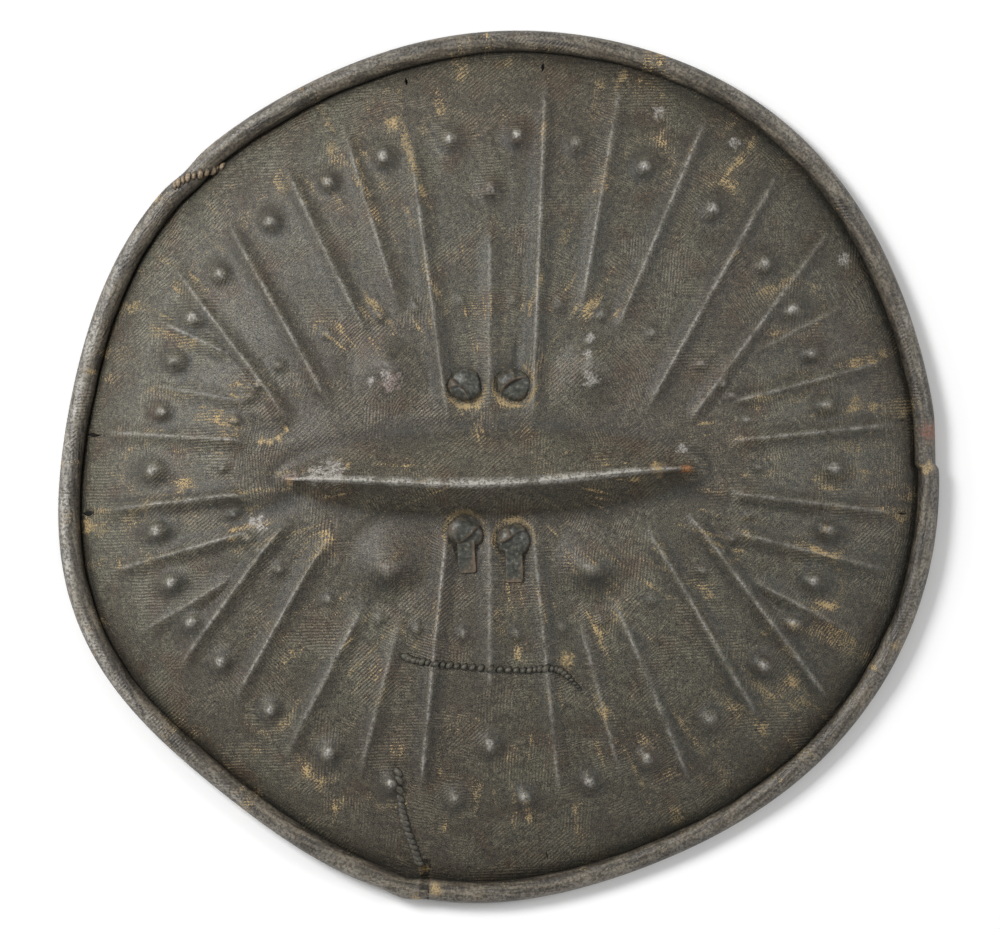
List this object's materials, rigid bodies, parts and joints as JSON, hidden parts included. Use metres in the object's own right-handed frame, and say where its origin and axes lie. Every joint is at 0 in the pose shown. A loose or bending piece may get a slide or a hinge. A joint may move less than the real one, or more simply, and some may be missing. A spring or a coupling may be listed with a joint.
{
  "type": "round hide shield",
  "caption": "Round hide shield with a raised ridge, pressed ribs and pointed bosses, a rolled edge, laced tears and a two-strap hand grip behind.",
  "frame": {"origin": "middle of the bounding box in plan, at the level of the surface that the shield lies on", "axes": "+X along the ridge to the right, +Y to the shield's top, +Z out of its face"},
  "size_m": [0.5982, 0.5926, 0.1086],
  "materials": {
    "hide": "aged stiff hide, dark brown-grey, satin, with worn pale crests and ochre dust",
    "strap": "dark folded leather, grey-green, dull",
    "thong": "tan hide thong, dry, matt"
  },
  "bodies": {
    "root": {"shield_hide": "hide", "grip_strap_left": "strap", "grip_strap_right": "strap", "lacing_centre": "thong", "lacing_lower": "thong", "lacing_rim": "thong"}
  },
  "joints": []
}
